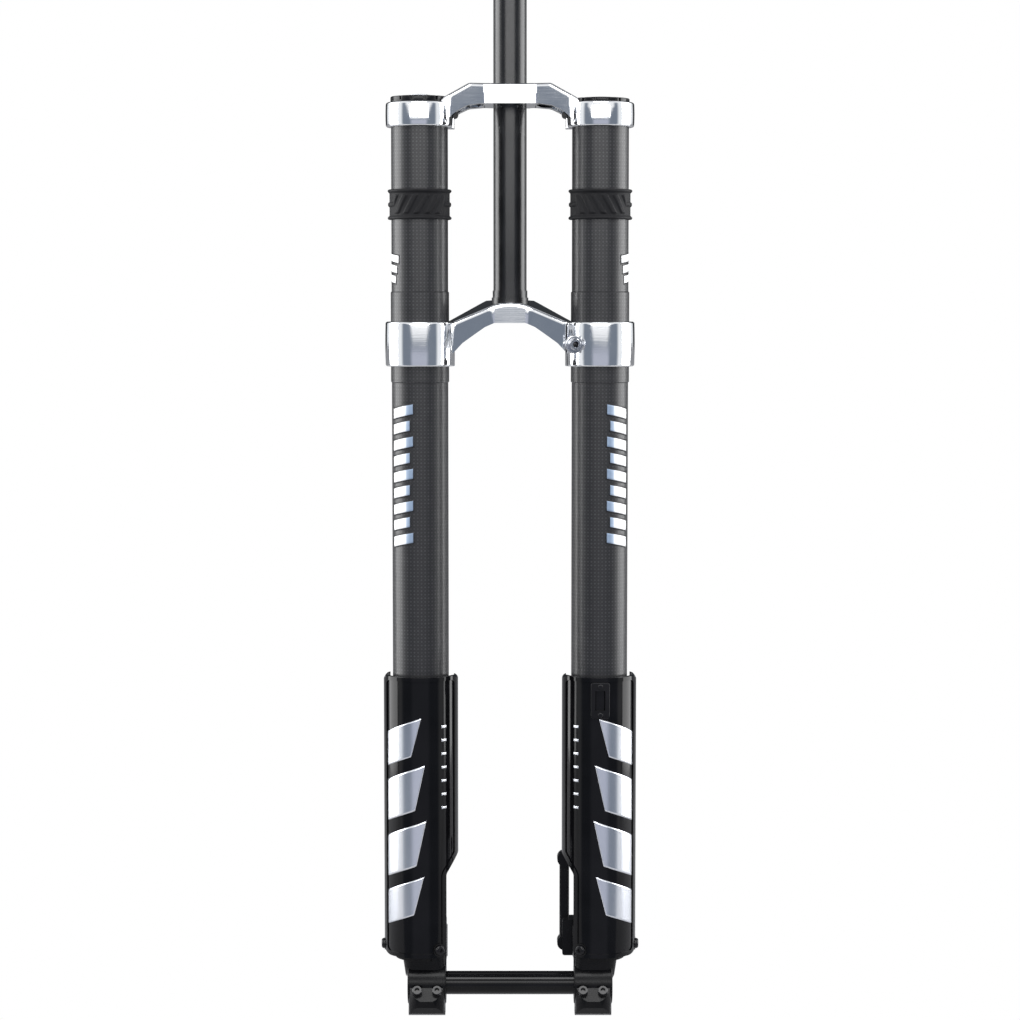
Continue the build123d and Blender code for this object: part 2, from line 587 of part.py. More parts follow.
def dropout():
    """Left dropout without the brake mount: stanchion socket, neck, axle boss and split jaw."""
    body = disc(NECK_R, NECK_BOTTOM, DROPOUT_TOP, LEG_X, LEG_Y)
    body = chamfer(body.edges().filter_by(GeomType.CIRCLE).sort_by(Axis.Z)[-1], 1.5)
    body += fillet(block(*SHOULDER_BLOCK).edges().filter_by(Axis.Y), 2)
    body += loft([rounded_section(*COLUMN_HIGH), rounded_section(*COLUMN_LOW)])
    boss = Rot(0, 90, 0) * Cylinder(BOSS_R, BOSS_OUTER - HUB_HALF)
    boss = fillet(boss.edges().filter_by(GeomType.CIRCLE), BOSS_SOFT)
    body += Pos((HUB_HALF + BOSS_OUTER) / 2, AXLE_Y, AXLE_Z) * boss
    jaw_inner = (HUB_HALF + BOSS_OUTER - JAW_WIDTH) / 2
    jaw_face = Plane.YZ.offset(jaw_inner) * make_face(Polyline(*JAW_SIDE, close=True))
    jaw = extrude(jaw_face, JAW_WIDTH)
    jaw_plan = rounded_section(DROPOUT_BOTTOM, jaw_inner + JAW_WIDTH / 2, JAW_Y, JAW_WIDTH, JAW_DEPTH, JAW_R)
    body += jaw & extrude(jaw_plan, AXLE_Z - DROPOUT_BOTTOM + BOSS_R)
    for turn in GUARD_SCREW_TURNS:
        body += guard_screw_place(turn) * disc(GUARD_PAD_R, PAD_ROOT, GUARD_R - GUARD_WALL - PAD_GAP)
    body -= disc(STANCHION_R + GAP, SOCKET_FLOOR, DROPOUT_TOP + 5, LEG_X, LEG_Y)
    body -= disc(FOOT_R, FOOT_BOTTOM, SOCKET_FLOOR + 1, LEG_X, LEG_Y)
    bore = Pos(0, AXLE_Y, AXLE_Z) * Rot(0, 90, 0) * Cylinder(AXLE_R + RUN, 300)
    body -= bore
    tilt = radians(PINCH_TILT)
    slit = Plane(origin=(0, AXLE_Y, AXLE_Z), x_dir=(1, 0, 0), z_dir=(0, -sin(tilt), -cos(tilt))).location
    body -= slit * (Pos(0, 0, SLIT_REACH / 2) * Box(300, SLIT, SLIT_REACH))
    for x in PINCH_X:
        body -= pinch_aim(x) * disc(SMALL_R + GAP, -AXLE_PINCH_LENGTH - 2, 1)
        body -= pinch_aim(x) * disc(SMALL_HEAD_R + 0.8, 0, 20)
    for turn in GUARD_SCREW_TURNS:
        body -= guard_screw_place(turn) * disc(GUARD_SCREW_R + GAP, PAD_ROOT + 1, GUARD_R + 9)
    return body


def brake_mount(body):
    """Adds the two posts that carry the brake caliper, and the strut between them."""
    posts = [POST_UPPER_Z, POST_UPPER_Z - POST_SPACING]
    front = POST_FACE_Y - STRUT_FRONT
    rear = POST_FACE_Y - STRUT_REAR
    strut = block(POST_X - STRUT_HALF, POST_X + STRUT_HALF, front, rear, posts[1] - 5, posts[0] + 5)
    web = block(POST_X - 2, WEB_X, WEB_Y, rear, posts[1] - 8, DROPOUT_TOP)
    body += fillet(strut.edges().filter_by(Axis.Z), 2)
    body += fillet(web.edges().filter_by(Axis.Y), 2)
    for z in posts:
        post = Plane(origin=(POST_X, POST_FACE_Y, z), z_dir=(0, 1, 0)).location
        body += post * disc(POST_R, -POST_DEPTH, 0)
        body -= post * disc(POST_HOLE_R, 1 - POST_DEPTH, 1)
    body -= disc(STANCHION_R + GAP, SOCKET_FLOOR, DROPOUT_TOP + 5, LEG_X, LEG_Y)
    return body - block(HUB_HALF - 20, HUB_HALF, -DEPTH, -24, DROPOUT_BOTTOM - 1, HUB_CLEAR_TOP)


def guard_sector(r_out, r_in, trim):
    """Upright shell round the left leg's front, open to the rear; trim shortens both its ends."""
    inner = radians(GUARD_INNER - trim)
    outer = radians(GUARD_OUTER - trim)
    reach = 60
    back = [
        (0, 0), (-reach * sin(inner), -reach * cos(inner)), (-reach, reach), (reach, reach),
        (reach * sin(outer), -reach * cos(outer)),
    ]
    return ring(r_out, r_in, GUARD_BOTTOM, GUARD_TOP) - plate(back, GUARD_BOTTOM - 1, GUARD_TOP + 1)


def guard_front(inset):
    """Front elevation of the left guard, drawn in by an even inset."""
    half = GUARD_R + 1.5
    points = [
        (half, GUARD_TOP), (half, GUARD_BOTTOM), (-GUARD_NOTCH_X, GUARD_BOTTOM),
        (-GUARD_NOTCH_X, GUARD_NOTCH_LOW), (-half, GUARD_NOTCH_TOP), (-half, GUARD_TOP),
    ]
    face = make_face(Polyline(*points, close=True))
    face = fillet(face.vertices(), 7)
    if inset:
        face = offset(face, -inset)
    return extrude(Plane.XZ * face, 80, both=True)


def guard():
    shell = guard_sector(GUARD_R, GUARD_R - GUARD_WALL, 0) & guard_front(0)
    rim = guard_sector(GUARD_R + GUARD_RIM_H, GUARD_R - 0.5, 0) & guard_front(0)
    rim -= guard_sector(GUARD_R + 5, GUARD_R - 5, 7) & guard_front(GUARD_RIM)
    body = Pos(LEG_X, LEG_Y, 0) * (shell + rim)
    for turn in GUARD_SCREW_TURNS:
        body += guard_screw_place(turn) * disc(GUARD_PAD_R, GUARD_R - 1.5, GUARD_SEAT_R)
        body -= guard_screw_place(turn) * disc(GUARD_SCREW_R + GAP, PAD_ROOT + 1, GUARD_R + 9)
    return body


def guard_screws():
    screw = button_screw(GUARD_SCREW_R, 10, GUARD_SCREW_HEAD_R, 2.6, 3)
    seated = Pos(0, 0, GUARD_SEAT_R) * screw
    return Compound(children=[guard_screw_place(turn) * seated for turn in GUARD_SCREW_TURNS])


def axle_pinch_bolts():
    bolt = socket_screw(SMALL_R, AXLE_PINCH_LENGTH, SMALL_HEAD_R, SMALL_HEAD_H, SMALL_KEY)
    return Compound(children=[pinch_aim(x) * bolt for x in PINCH_X])


def on_axle(shape, x):
    """Turns a shape built about Z so that it lies along X with its foot at x."""
    return Pos(x, AXLE_Y, AXLE_Z) * Rot(0, 90, 0) * shape


def axle():
    length = AXLE_LEFT_END - AXLE_RIGHT_END
    body = ring(AXLE_R, AXLE_BORE_R, 0, length) + ring(AXLE_R, 0.1, length - 12, length - 4)
    body = chamfer(body.edges().filter_by(GeomType.CIRCLE).sort_by(Axis.Z)[-1], 0.3)
    key = extrude(RegularPolygon(4, 6, major_radius=False), length + 1)
    return on_axle(body - key, AXLE_RIGHT_END)


def axle_bolt():
    head = chamfer(disc(AXLE_BOLT_HEAD_R, 0, AXLE_BOLT_HEAD_H).edges().sort_by(Axis.Z)[0], 0.6)
    body = head + disc(AXLE_BORE_R - RUN, AXLE_BOLT_HEAD_H, AXLE_BOLT_HEAD_H + 14)
    body -= extrude(RegularPolygon(4, 6, major_radius=False), 9)
    return on_axle(body, -BOSS_OUTER)


def clip_screw_place(z):
    return aim(Vector(LEG_X, LEG_Y - GUARD_R - 3.2, z), Vector(0, -1, 0))


def hose_clip():
    """Guide on the front of the left guard that holds the brake hose."""
    front = LEG_Y - GUARD_R - 3.2
    body = block(LEG_X - CLIP_HALF, LEG_X + CLIP_HALF, front, LEG_Y - GUARD_R + 2, CLIP_LOW, CLIP_HIGH)
    body = fillet(body.edges().filter_by(Axis.Y), 2.5)
    body = fillet(body.faces().sort_by(Axis.Y)[0].edges(), 0.8)
    body -= block(LEG_X - 4.2, LEG_X + 4.2, front - 1, LEG_Y, CLIP_LOW + 7, CLIP_HIGH - 7)
    body -= disc(GUARD_R + 0.02, CLIP_LOW - 1, CLIP_HIGH + 1, LEG_X, LEG_Y)
    for z in CLIP_SCREW_Z:
        body -= clip_screw_place(z) * disc(1.5 + GAP, -20, 1)
    return body


def hose_clip_screws():
    screw = button_screw(1.5, 5, 2.4, 1.4, 2)
    return Compound(children=[clip_screw_place(z) * screw for z in CLIP_SCREW_Z])


# ---- write every piece ----------------------------------------------------------------------------
save(steerer_tube(), "steerer_tube")
save(upper_crown(), "upper_crown")
save(lower_crown(), "lower_crown")
save(pinch_bolts((UPPER_CLAMP_BOTTOM + UPPER_CLAMP_TOP) / 2, UPPER_FACING), "upper_crown_pinch_bolts")
save(pinch_bolts((LOWER_CLAMP_BOTTOM + LOWER_CLAMP_TOP) / 2, LOWER_FACING), "lower_crown_pinch_bolts")
save(steerer_clamp_bolts(), "steerer_clamp_bolts")
save(Compound(children=[on_leg(cap_oring(), side) for side in SIDES.values()]), "cap_orings")

for name, side in SIDES.items():
    save(on_leg(outer_tube(), side), f"outer_tube_{name}")
    save(on_leg(bumper(), side), f"bumper_{name}")
    save(on_leg(bushing(UPPER_BUSHING_Z), side), f"upper_bushing_{name}")
    save(on_leg(bushing(LOWER_BUSHING_Z), side), f"lower_bushing_{name}")
    save(on_leg(oil_seal(), side), f"oil_seal_{name}")
    save(on_leg(seal_clip(), side), f"seal_clip_{name}")
    save(on_leg(wiper_seal(), side), f"wiper_seal_{name}")
    save(on_leg(topout_bumper(), side), f"topout_bumper_{name}")
    save(on_leg(bottomout_bumper(), side), f"bottomout_bumper_{name}")
    save(on_leg(stanchion(), side), f"stanchion_{name}")

save(on_leg(top_cap(LEFT_CAP_TOP, COVER_FLOOR), 1), "top_cap_left")
save(on_leg(top_cap(RIGHT_CAP_TOP, DIAL_FLOOR), -1), "top_cap_right")
save(on_leg(valve_cover(), 1), "valve_cover")
save(on_leg(air_valve(), 1), "air_valve")
save(on_leg(rebound_knob(), -1), "rebound_knob")
save(on_leg(compression_ring(), -1), "compression_ring")

for name, side, grooves in (("air", 1, 1), ("damper", -1, 2)):
    save(on_leg(rod(), side), f"{name}_rod")
    save(on_leg(piston(grooves), side), f"{name}_piston")
    save(on_leg(seal_head(), side), f"{name}_seal_head")
save(on_leg(cartridge(), 1), "air_cylinder")
save(on_leg(cartridge(), -1), "damper_cartridge")
save(on_leg(base_valve(), -1), "base_valve")

left_guard = guard()
right_guard = mirror(left_guard, about=Plane.YZ)
for z in CLIP_SCREW_Z:
    left_guard -= clip_screw_place(z) * disc(1.5 + GAP, -8, 1)
save(left_guard, "guard_left")
save(right_guard, "guard_right")
plain_dropout = dropout()
save(brake_mount(plain_dropout), "dropout_left")
right_dropout = mirror(plain_dropout, about=Plane.YZ)
bolt_seat = on_axle(disc(AXLE_BOLT_HEAD_R + RUN, -1, AXLE_BOLT_HEAD_H), -BOSS_OUTER)
save(right_dropout - bolt_seat, "dropout_right")
save(guard_screws(), "guard_screws_left")
save(mirror(guard_screws(), about=Plane.YZ), "guard_screws_right")
save(axle_pinch_bolts(), "axle_pinch_bolts_left")
save(mirror(axle_pinch_bolts(), about=Plane.YZ), "axle_pinch_bolts_right")
save(axle(), "axle")
save(axle_bolt(), "axle_bolt")
save(hose_clip(), "hose_clip")
save(hose_clip_screws(), "hose_clip_screws")
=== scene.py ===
import json
from math import cos, pi, radians, sin

import bpy
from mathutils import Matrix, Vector


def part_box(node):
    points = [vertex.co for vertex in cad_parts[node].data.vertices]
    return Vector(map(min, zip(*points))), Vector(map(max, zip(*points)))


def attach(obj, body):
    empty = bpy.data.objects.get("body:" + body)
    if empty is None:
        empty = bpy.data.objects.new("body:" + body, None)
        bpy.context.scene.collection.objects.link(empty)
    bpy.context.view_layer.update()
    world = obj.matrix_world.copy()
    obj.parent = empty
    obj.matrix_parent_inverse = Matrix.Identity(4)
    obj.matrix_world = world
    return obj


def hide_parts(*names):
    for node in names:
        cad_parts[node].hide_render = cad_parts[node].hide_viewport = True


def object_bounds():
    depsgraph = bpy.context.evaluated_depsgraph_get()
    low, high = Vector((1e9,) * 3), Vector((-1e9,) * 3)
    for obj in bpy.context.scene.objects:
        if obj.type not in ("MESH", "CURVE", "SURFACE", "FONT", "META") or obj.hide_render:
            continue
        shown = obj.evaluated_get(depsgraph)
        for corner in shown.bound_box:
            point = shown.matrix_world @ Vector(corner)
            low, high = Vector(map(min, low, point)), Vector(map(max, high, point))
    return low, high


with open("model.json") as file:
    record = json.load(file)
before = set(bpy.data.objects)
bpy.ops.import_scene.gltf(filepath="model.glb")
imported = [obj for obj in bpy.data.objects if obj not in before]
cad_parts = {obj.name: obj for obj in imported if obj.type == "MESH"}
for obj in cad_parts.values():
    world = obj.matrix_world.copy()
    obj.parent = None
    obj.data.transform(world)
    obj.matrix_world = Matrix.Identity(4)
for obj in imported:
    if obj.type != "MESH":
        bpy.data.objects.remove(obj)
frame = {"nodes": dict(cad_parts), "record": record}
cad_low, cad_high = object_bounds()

NODES = frame["nodes"]
MM = 0.001

# ---- places read from the frame ------------------------------------------------------------------
tube_low, tube_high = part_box("outer_tube_left")
bumper_low, bumper_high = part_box("bumper_left")
LEG_X = (tube_low.x + tube_high.x) / 2
LEG_Y = (tube_low.y + tube_high.y) / 2
SLEEVE_R = (tube_high.x - tube_low.x) / 2
SLEEVE_STEP = 0.75 * MM  # how far the tube's sleeves stand proud of its carbon wall
TUBE_R = SLEEVE_R - SLEEVE_STEP
GUARD_R = 31.0 * MM
BUMPER_BORE_R = TUBE_R + 0.02 * MM
LEGS = {"left": 1, "right": -1}


# ---- camera ---------------------------------------------------------------------------------------
CAMERA_PITCH = radians(4.6)
CAMERA_DISTANCE = 2.223
LENS = 91.8  # millimetres, for the sensor width below
SENSOR_WIDTH = 36
CLIP_END = 100
AIM = Vector((0.0, LEG_Y, -0.181))


def make_camera():
    """Camera in front of the fork, a little above its middle and pitched down."""
    data = bpy.data.cameras.new("camera")
    data.lens = LENS
    data.sensor_width = SENSOR_WIDTH
    data.clip_end = CLIP_END
    camera = bpy.data.objects.new("camera", data)
    bpy.context.scene.collection.objects.link(camera)
    back = Vector((0, -cos(CAMERA_PITCH), sin(CAMERA_PITCH)))
    camera.location = AIM + back * CAMERA_DISTANCE
    camera.rotation_euler = (pi / 2 - CAMERA_PITCH, 0, 0)
    bpy.context.scene.camera = camera


# ---- node helpers ---------------------------------------------------------------------------------
class Graph:
    """A material's node tree, with short calls for the nodes used here."""

    def __init__(self, name):
        self.material = bpy.data.materials.new(name)
        self.material.use_nodes = True
        self.tree = self.material.node_tree
        self.shader = self.tree.nodes["Principled BSDF"]

    def add(self, kind, **settings):
        node = self.tree.nodes.new(kind)
        for key, value in settings.items():
            setattr(node, key, value)
        return node

    def link(self, source, target):
        self.tree.links.new(source, target)

    def feed(self, value, socket):
        if isinstance(value, (int, float, tuple)):
            socket.default_value = value
        else:
            self.link(value, socket)

    def math(self, operation, a, b=0.0, c=0.0):
        node = self.add("ShaderNodeMath", operation=operation)
        for value, socket in zip((a, b, c), node.inputs):
            self.feed(value, socket)
        return node.outputs[0]

    def place(self):
        """Object coordinates as three separate outputs, in metres."""
        node = self.add("ShaderNodeSeparateXYZ")
        self.link(self.add("ShaderNodeTexCoord").outputs["Object"], node.inputs[0])
        return node.outputs

    def noise(self, scale, detail, stretch=(1, 1, 1)):
        mapping = self.add("ShaderNodeMapping")
        mapping.inputs["Scale"].default_value = stretch
        self.link(self.add("ShaderNodeTexCoord").outputs["Object"], mapping.inputs[0])
        node = self.add("ShaderNodeTexNoise")
        node.inputs["Scale"].default_value = scale
        node.inputs["Detail"].default_value = detail
        self.link(mapping.outputs[0], node.inputs["Vector"])
        return node.outputs[0]

    def spread(self, value, low, high, start=0.0, end=1.0):
        """Maps start..end to low..high."""
        node = self.add("ShaderNodeMapRange")
        self.feed(value, node.inputs[0])
        for socket, number in zip(node.inputs[1:5], (start, end, low, high)):
            socket.default_value = number
        return node.outputs[0]

    def colours(self, value, *stops):
        """Colour ramp with stops of (position, (r, g, b))."""
        node = self.add("ShaderNodeValToRGB")
        ramp = node.color_ramp
        while len(ramp.elements) < len(stops):
            ramp.elements.new(0.5)
        for element, (position, colour) in zip(ramp.elements, stops):
            element.position = position
            element.color = (*colour, 1)
        self.feed(value, node.inputs[0])
        return node.outputs[0]

    def bump(self, height, strength, distance):
        node = self.add("ShaderNodeBump")
        node.inputs["Strength"].default_value = strength
        node.inputs["Distance"].default_value = distance
        self.link(height, node.inputs["Height"])
        self.link(node.outputs[0], self.shader.inputs["Normal"])

    def set(self, **values):
        for key, value in values.items():
            self.feed(value, self.shader.inputs[key.replace("_", " ")])


# ---- materials ------------------------------------------------------------------------------------
def polished_aluminium():
    g = Graph("polished_aluminium")
    haze = g.noise(55, 4)
    lines = g.noise(900, 2, (0.05, 0.05, 1))
    waves = g.noise(28, 1)
    tone = g.colours(haze, (0.3, (0.83, 0.845, 0.87)), (0.7, (0.89, 0.90, 0.91)))
    g.set(Base_Color=tone, Metallic=1.0, Roughness=g.spread(haze, 0.055, 0.12))
    g.bump(g.math("MULTIPLY_ADD", waves, 4.0, lines), 0.05, 0.2 * MM)
    return g.material


def satin_black(name, base, rough, shine=0.5):
    """Anodised or painted black metal with a fine grain and slightly rubbed patches."""
    g = Graph(name)
    patches = g.noise(38, 5)
    tone = g.colours(patches, (0.35, base), (0.75, tuple(c * 1.7 + 0.002 for c in base)))
    g.set(Base_Color=tone, Roughness=g.spread(patches, rough - 0.05, rough + 0.09))
    g.shader.inputs["Specular IOR Level"].default_value = shine
    g.bump(g.noise(1400, 2), 0.18, 0.15 * MM)
    return g.material


def leg_turn(g, x, y):
    """Angle round the nearer leg's axis in radians, 0 at the front and positive towards +X."""
    side = g.math("SIGN", x)
    from_axis = g.math("SUBTRACT", x, g.math("MULTIPLY", side, LEG_X))
    return side, g.math("ARCTAN2", from_axis, g.math("SUBTRACT", LEG_Y, y))


def carbon_weave():
    """Woven carbon tows under a satin clear coat, laid at 45 degrees round each leg; the tows' lighter tones
    are weave pattern and partly painted sheen.
    """
    g = Graph("carbon_weave")
    x, y, z = g.place()
    turn = leg_turn(g, x, y)[1]
    cells_round = round(2 * pi * TUBE_R / TOW)
    u = g.math("MULTIPLY", turn, cells_round / (2 * pi))
    v = g.math("MULTIPLY", z, 1 / TOW)
    p = g.math("ADD", u, v)
    q = g.math("SUBTRACT", u, v)
    step = g.math("ADD", g.math("FLOOR", p), g.math("FLOOR", q))
    # Over tows lighter than under tows: weave pattern, partly painted sheen of the tows.
    over = g.math("LESS_THAN", g.math("FLOORED_MODULO", step, 2.0), 1.0)
    across_p = g.math("ABSOLUTE", g.math("SUBTRACT", g.math("FRACT", p), 0.5))
    across_q = g.math("ABSOLUTE", g.math("SUBTRACT", g.math("FRACT", q), 0.5))
    # Lighter middle of each diamond, darker at its edges: painted sheen on the tow crowns.
    crown_sheen = g.spread(g.math("MAXIMUM", across_p, across_q), 0.5, 0.0, 0.1, 0.5)
    tows = g.math("MULTIPLY_ADD", over, 0.3, crown_sheen)
    mottling = g.noise(140, 3)
    shade = g.math("MULTIPLY", tows, g.spread(mottling, 0.6, 1.35))
    tone = g.colours(
        shade, (0.0, (0.006, 0.006, 0.007)), (0.5, (0.016, 0.016, 0.018)), (1.0, (0.050, 0.050, 0.054)),
    )
    g.set(Base_Color=tone, Roughness=g.spread(shade, 0.46, 0.34), Metallic=0.0)
    g.shader.inputs["Specular IOR Level"].default_value = 0.35
    g.shader.inputs["Coat Weight"].default_value = 0.3
    g.shader.inputs["Coat Roughness"].default_value = 0.22
    g.bump(tows, 0.12, 0.15 * MM)
    return g.material


def gloss_black():
    g = Graph("gloss_black")
    wear = g.noise(30, 5)
    g.set(
        Base_Color=g.colours(wear, (0.4, (0.0025, 0.0025, 0.003)), (0.8, (0.005, 0.005, 0.006))),
        Roughness=g.spread(wear, 0.045, 0.10),
    )
    g.shader.inputs["Specular IOR Level"].default_value = 0.22
    g.bump(g.noise(120, 2), 0.02, 0.2 * MM)
    return g.material


def silver_foil():
    g = Graph("silver_foil")
    flow = g.noise(25, 3, (1, 1, 0.2))
    g.set(
        Base_Color=g.colours(flow, (0.3, (0.70, 0.73, 0.79)), (0.7, (0.86, 0.87, 0.90))),
        Metallic=1.0,
        Roughness=g.spread(flow, 0.16, 0.26),
    )
    return g.material


def rubber(name, base):
    g = Graph(name)
    patches = g.noise(90, 4)
    g.set(
        Base_Color=g.colours(patches, (0.3, base), (0.8, tuple(c * 1.8 for c in base))),
        Roughness=g.spread(patches, 0.55, 0.75),
    )
    g.shader.inputs["Specular IOR Level"].default_value = 0.25
    g.bump(g.noise(2200, 2), 0.25, 0.1 * MM)
    return g.material


def bright_metal(name, base, rough, turned=(1, 1, 1)):
    """Bare or plated metal with fine machining lines."""
    g = Graph(name)
    tint = g.noise(70, 4)
    g.set(
        Base_Color=g.colours(tint, (0.3, tuple(c * 0.9 for c in base)), (0.7, base)),
        Metallic=1.0,
        Roughness=g.spread(tint, rough - 0.04, rough + 0.06),
    )
    g.bump(g.noise(1500, 2, turned), 0.08, 0.1 * MM)
    return g.material


def bar_ink_painted_reflection():
    """Printed ink whose colour is a painted reflection, turning from white on the leg's outer side to silver
    blue towards the front.
    """
    g = Graph("bar_ink_painted_reflection")
    x, y = g.place()[:2]
    side, turn = leg_turn(g, x, y)
    outwards = g.math("MULTIPLY", side, turn)
    # Painted reflection: the ink is white where the leg's outer side would mirror the side lights, and silver
    # blue towards the front.
    painted_reflection_fade = g.spread(outwards, 0.0, 1.0, radians(20), radians(40))
    grain = g.noise(220, 3)
    tone = g.colours(
        g.math("MULTIPLY_ADD", grain, 0.08, painted_reflection_fade),
        (0.0, (0.20, 0.27, 0.38)), (0.35, (0.34, 0.42, 0.54)),
        (0.55, (0.80, 0.83, 0.87)), (1.0, (0.92, 0.92, 0.92)),
    )
    g.set(Base_Color=tone, Roughness=g.spread(grain, 0.3, 0.42))
    return g.material


def black_ink():
    g = Graph("black_ink")
    grain = g.noise(300, 3)
    g.set(
        Base_Color=g.colours(grain, (0.3, (0.002, 0.002, 0.003)), (0.8, (0.005, 0.005, 0.006))),
        Roughness=g.spread(grain, 0.3, 0.4),
    )
    return g.material


TOW = 3.1 * MM  # width of one diamond of the weave
MATERIALS = {
    "polished_aluminium": polished_aluminium(),
    "steerer_black": satin_black("steerer_black", (0.004, 0.0042, 0.005), 0.22),
    "carbon_tube": carbon_weave(),
    "guard_gloss": gloss_black(),
    "dropout_black": satin_black("dropout_black", (0.002, 0.002, 0.0025), 0.24, 0.16),
    "cap_black": satin_black("cap_black", (0.002, 0.002, 0.003), 0.22, 0.3),
    "dial_aluminium": bright_metal("dial_aluminium", (0.72, 0.73, 0.76), 0.24, (1, 1, 0.1)),
    "bolt_chrome": bright_metal("bolt_chrome", (0.56, 0.57, 0.60), 0.16),
    "bolt_black": satin_black("bolt_black", (0.002, 0.002, 0.003), 0.13, 0.3),
    "axle_gloss": gloss_black(),
    "stanchion_silver": bright_metal("stanchion_silver", (0.70, 0.71, 0.73), 0.12, (1, 1, 0.02)),
    "rod_chrome": bright_metal("rod_chrome", (0.78, 0.79, 0.80), 0.10, (1, 1, 0.02)),
    "seal_rubber": rubber("seal_rubber", (0.008, 0.008, 0.009)),
    "bumper_rubber": rubber("bumper_rubber", (0.005, 0.005, 0.006)),
    "bushing_bronze": bright_metal("bushing_bronze", (0.50, 0.38, 0.22), 0.35),
    "damper_metal": bright_metal("damper_metal", (0.60, 0.60, 0.62), 0.28),
    "clip_black": satin_black("clip_black", (0.003, 0.003, 0.004), 0.32, 0.16),
}
SLOT_OF = {entry["node"]: entry["material_slot"] for entry in frame["record"]["subparts"]}


def dress_frame():
    """Gives every CAD node its material, and rounds the machined edges of the cast and milled ones."""
    for name, piece in NODES.items():
        piece.data.materials.clear()
        piece.data.materials.append(MATERIALS[SLOT_OF[name]])
    for name, width in EDGES.items():
        soften(NODES[name], width * MM)


# Bevel width in millimetres of each node with machined edges.
EDGES = {
    "upper_crown": 0.7,
    "lower_crown": 0.7,
    "dropout_left": 0.5,
    "dropout_right": 0.5,
    "top_cap_left": 0.25,
    "top_cap_right": 0.25,
}


def soften(piece, width):
    """Joins the faces' shared corners and bevels the sharp edges."""
    weld = piece.modifiers.new("weld", "WELD")
    weld.merge_threshold = 0.002 * MM
    bevel = piece.modifiers.new("bevel", "BEVEL")
    bevel.width = width
    bevel.segments = 3
    bevel.limit_method = "ANGLE"
    bevel.angle_limit = radians(32)
    bevel.use_clamp_overlap = True
    bevel.harden_normals = True


# ---- mesh helpers ---------------------------------------------------------------------------------
def mesh_piece(name, points, faces, material, body):
    """New visible piece that rides on a body."""
    mesh = bpy.data.meshes.new(name)
    mesh.from_pydata([tuple(p) for p in points], [], faces)
    mesh.update()
    piece = bpy.data.objects.new(name, mesh)
    bpy.context.scene.collection.objects.link(piece)
    piece.data.materials.append(material)
    mesh.shade_smooth()
    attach(piece, body)
    return piece


def on_leg(side, radius, turn, z):
    """Point on a leg at a turn in degrees from the front, positive to the outside."""
    a = radians(turn)
    return (side * (LEG_X + radius * sin(a)), LEG_Y - radius * cos(a), z)


PATCH_FLOOR = 0.01 * MM  # room between a print and the wall under it


def patch(name, side, radius, front, back, low, high, look, body, slant, lift, rows, columns):
    """Thin closed print or foil shape on a leg.

    front and back give its edges in degrees from the front, for a height of 0 to 1. slant raises it by so
    many metres for each degree, and lift is its thickness in millimetres.
    """
    middle = (front(0.5) + back(0.5)) / 2
    points = []
    for layer in (radius + lift * MM, radius + PATCH_FLOOR):
        for i in range(rows + 1):
            t = i / rows
            for j in range(columns + 1):
                turn = front(t) + (back(t) - front(t)) * j / columns
                points.append(on_leg(side, layer, turn, low + (high - low) * t + slant * (turn - middle)))
    stride = columns + 1
    layer_size = (rows + 1) * stride
    faces = []
    for i in range(rows):
        for j in range(columns):
            a = i * stride + j
            faces.append((a, a + 1, a + stride + 1, a + stride))
            b = a + layer_size
            faces.append((b + stride, b + stride + 1, b + 1, b))
    rim = list(range(stride))
    rim += [i * stride + columns for i in range(1, rows + 1)]
    rim += [rows * stride + j for j in range(columns - 1, -1, -1)]
    rim += [i * stride for i in range(rows - 1, 0, -1)]
    for a, b in zip(rim, rim[1:] + rim[:1]):
        faces.append((a, a + layer_size, b + layer_size, b))
    if side < 0:
        faces = [face[::-1] for face in faces]
    mesh_piece(name, points, faces, LOOKS[look], body)


# ---- front pinch bolt -----------------------------------------------------------------------------
BOLT_SEAT = Vector((53.5, -65.0, -39.3)) * MM  # where the bolt's head sits on the left ear
BOLT_LEAN = 16.8  # degrees that its axis leans outwards from straight ahead
# Profiles from the seat outwards, as (radius, height) in millimetres.
FLANGE_PROFILE = [(7.0, -0.6), (7.6, -0.3), (7.8, 0.2), (7.8, 1.2), (7.5, 1.7), (6.9, 1.9), (6.4, 1.92)]
# Black plug in the bolt head's hex socket: painted shade standing in for the socket's dark hollow.
SOCKET_SHADE_PROFILE = [(2.3, 2.6), (2.3, 5.4)]


def turned_piece(name, profile, material, spokes=40):
    """Closed round piece about the front pinch bolt's axis."""
    lean = radians(BOLT_LEAN)
    axis = Vector((sin(lean), -cos(lean), 0))
    across = Vector((cos(lean), sin(lean), 0))
    up = Vector((0, 0, 1))
    points = []
    for radius, height in profile:
        for j in range(spokes):
            a = 2 * pi * j / spokes
            points.append(BOLT_SEAT + MM * (height * axis + radius * (cos(a) * across + sin(a) * up)))
    faces = [tuple(range(spokes - 1, -1, -1))]
    for i in range(len(profile) - 1):
        for j in range(spokes):
            k = (j + 1) % spokes
            faces.append((i * spokes + j, i * spokes + k, (i + 1) * spokes + k, (i + 1) * spokes + j))
    faces.append(tuple(range(len(points) - spokes, len(points))))
    mesh_piece(name, points, faces, material, "upper_legs")


# ---- bumpers --------------------------------------------------------------------------------------
def smooth_step(value, start, end):
    t = min(1.0, max(0.0, (value - start) / (end - start)))
    return t * t * (3 - 2 * t)


